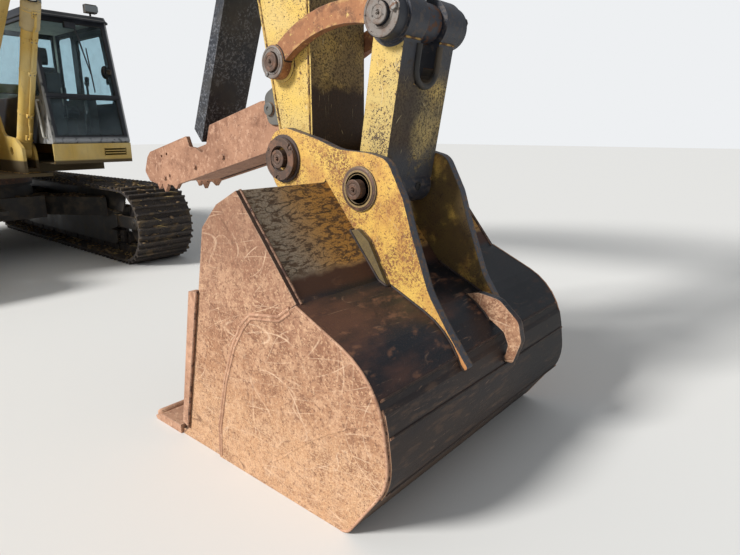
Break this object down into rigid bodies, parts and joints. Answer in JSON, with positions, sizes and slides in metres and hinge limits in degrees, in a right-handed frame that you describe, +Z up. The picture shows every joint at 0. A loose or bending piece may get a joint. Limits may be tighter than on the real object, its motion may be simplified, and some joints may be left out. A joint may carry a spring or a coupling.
{
  "type": "crawler excavator",
  "caption": "Crawler excavator parked with its plain-lipped bucket on the ground, with a fixed thumb under its arm.",
  "frame": {"origin": "On the ground under the middle of the whole machine's length, in the centre plane between the tracks.", "axes": "+X points forward from the counterweight to the bucket, +Y to the operator's left where the cab stands, +Z up."},
  "size_m": [10.9604, 3.29, 5.6653],
  "materials": {
    "yellow_paint": "faded and worn, rust in the scratches",
    "dark_paint": "worn satin",
    "track_steel": "worn and earthy",
    "rusty_steel": "bare and rusted",
    "bright_steel": "polished",
    "pin_steel": "greasy",
    "pipe_steel": "satin",
    "cast_grey": "rough",
    "cab_plastic": "matt",
    "window_glass": "dusty",
    "seat_cloth": "worn"
  },
  "bodies": {
    "undercarriage": {"car_body": "dark_paint", "slew_ring": "track_steel", "track_frames": "dark_paint", "track_left": "track_steel", "track_right": "track_steel", "track_wheels": "track_steel"},
    "upper": {"revolving_frame": "yellow_paint", "counterweight": "yellow_paint", "engine_block": "cast_grey", "engine_housing": "yellow_paint", "tanks": "yellow_paint", "exhaust": "rusty_steel", "handrails": "yellow_paint", "work_lamps": "dark_paint", "cab_shell": "dark_paint", "cab_roof": "dark_paint", "cab_glass": "window_glass", "cab_interior": "cab_plastic", "seat_cushions": "seat_cloth", "upper_pins": "pin_steel"},
    "engine_hood": {"engine_hood": "yellow_paint"},
    "radiator_door": {"radiator_door": "yellow_paint"},
    "pump_door": {"pump_door": "yellow_paint"},
    "cab_door": {"cab_door": "dark_paint", "door_glass": "window_glass"},
    "boom": {"boom": "yellow_paint", "boom_pins": "pin_steel", "boom_pipes": "pipe_steel"},
    "boom_barrels": {"boom_barrels": "yellow_paint"},
    "boom_rods": {"boom_rods": "bright_steel"},
    "arm_barrel": {"arm_barrel": "yellow_paint"},
    "arm_rod": {"arm_rod": "bright_steel"},
    "arm": {"arm": "yellow_paint", "arm_pins": "pin_steel", "thumb_plates": "rusty_steel", "thumb_brace": "dark_paint"},
    "bucket_barrel": {"bucket_barrel": "yellow_paint"},
    "bucket_rod": {"bucket_rod": "bright_steel"},
    "idler_links": {"idler_links": "rusty_steel"},
    "bucket_link": {"bucket_link": "yellow_paint"},
    "bucket": {"bucket_shell": "rusty_steel", "bucket_ears": "yellow_paint", "bucket_cutters": "rusty_steel", "bucket_pins": "pin_steel"}
  },
  "joints": [
    {"name": "slew", "type": "hinge", "parent": "undercarriage", "child": "upper", "pos_m": [-2.1803, 0, 1], "axis": [0, 0, 1], "continuous": true},
    {"name": "cab_door_hinge", "type": "hinge", "parent": "upper", "child": "cab_door", "pos_m": [-2.0203, 1.507, 2], "axis": [0, 0, 1], "range_deg": [0, 165]},
    {"name": "radiator_door_hinge", "type": "hinge", "parent": "upper", "child": "radiator_door", "pos_m": [-3.7403, 1.507, 1.8], "axis": [0, 0, -1], "range_deg": [0, 110]},
    {"name": "pump_door_hinge", "type": "hinge", "parent": "upper", "child": "pump_door", "pos_m": [-3.7403, -1.507, 1.8], "axis": [0, 0, 1], "range_deg": [0, 110]},
    {"name": "hood_hinge", "type": "hinge", "parent": "upper", "child": "engine_hood", "pos_m": [-3.5653, 0, 2.257], "axis": [0, 1, 0], "range_deg": [0, 75]},
    {"name": "boom_swing", "type": "hinge", "parent": "upper", "child": "boom", "pos_m": [-2.0303, 0, 2.03], "axis": [0, -1, 0], "range_deg": [-66, 38]},
    {"name": "boom_barrel_pivot", "type": "hinge", "parent": "upper", "child": "boom_barrels", "pos_m": [-1.3503, 0, 1.36], "axis": [0, -1, 0], "range_deg": [-66, 38]},
    {"name": "boom_rod_slide", "type": "slide", "parent": "boom_barrels", "child": "boom_rods", "axis": [0.4753, 0, 0.8798], "range_m": [-0.93, 0.54]},
    {"name": "arm_swing", "type": "hinge", "parent": "boom", "child": "arm", "pos_m": [3.82286, 0, 4.61855], "axis": [0, 1, 0], "range_deg": [-75, 38]},
    {"name": "arm_barrel_pivot", "type": "hinge", "parent": "boom", "child": "arm_barrel", "pos_m": [0.41464, 0, 4.78421], "axis": [0, 1, 0], "range_deg": [-3.2, 1.7]},
    {"name": "arm_rod_slide", "type": "slide", "parent": "arm_barrel", "child": "arm_rod", "axis": [0.978, 0, 0.2087], "range_m": [-1.12, 0.58]},
    {"name": "bucket_curl", "type": "hinge", "parent": "arm", "child": "bucket", "pos_m": [4.2697, 0, 1.46], "axis": [0, 1, 0], "range_deg": [-66, 52]},
    {"name": "idler_pivot", "type": "hinge", "parent": "arm", "child": "idler_links", "pos_m": [4.20728, 0, 1.93696], "axis": [0, 1, 0], "range_deg": [-53, 42]},
    {"name": "link_pivot", "type": "hinge", "parent": "idler_links", "child": "bucket_link", "pos_m": [4.91741, 0, 2.07798], "axis": [0, 1, 0], "range_deg": [-26, 33]},
    {"name": "bucket_barrel_pivot", "type": "hinge", "parent": "arm", "child": "bucket_barrel", "pos_m": [4.59879, 0, 4.27384], "axis": [0, 1, 0], "range_deg": [-2, 2.2]},
    {"name": "bucket_rod_slide", "type": "slide", "parent": "bucket_barrel", "child": "bucket_rod", "axis": [0.1436, 0, -0.9896], "range_m": [-0.56, 0.44]}
  ],
  "couplings": [
    {"joint": "boom_barrel_pivot", "follows": "boom_swing", "ratio": 0.99},
    {"joint": "boom_rod_slide", "follows": "boom_swing", "m_per_rad": 0.79},
    {"joint": "arm_barrel_pivot", "follows": "arm_swing", "ratio": 0.04},
    {"joint": "arm_rod_slide", "follows": "arm_swing", "m_per_rad": 0.84},
    {"joint": "idler_pivot", "follows": "bucket_curl", "ratio": 0.79},
    {"joint": "link_pivot", "follows": "bucket_curl", "ratio": -0.49},
    {"joint": "bucket_barrel_pivot", "follows": "bucket_curl", "ratio": -0.03},
    {"joint": "bucket_rod_slide", "follows": "bucket_curl", "m_per_rad": 0.47}
  ]
}
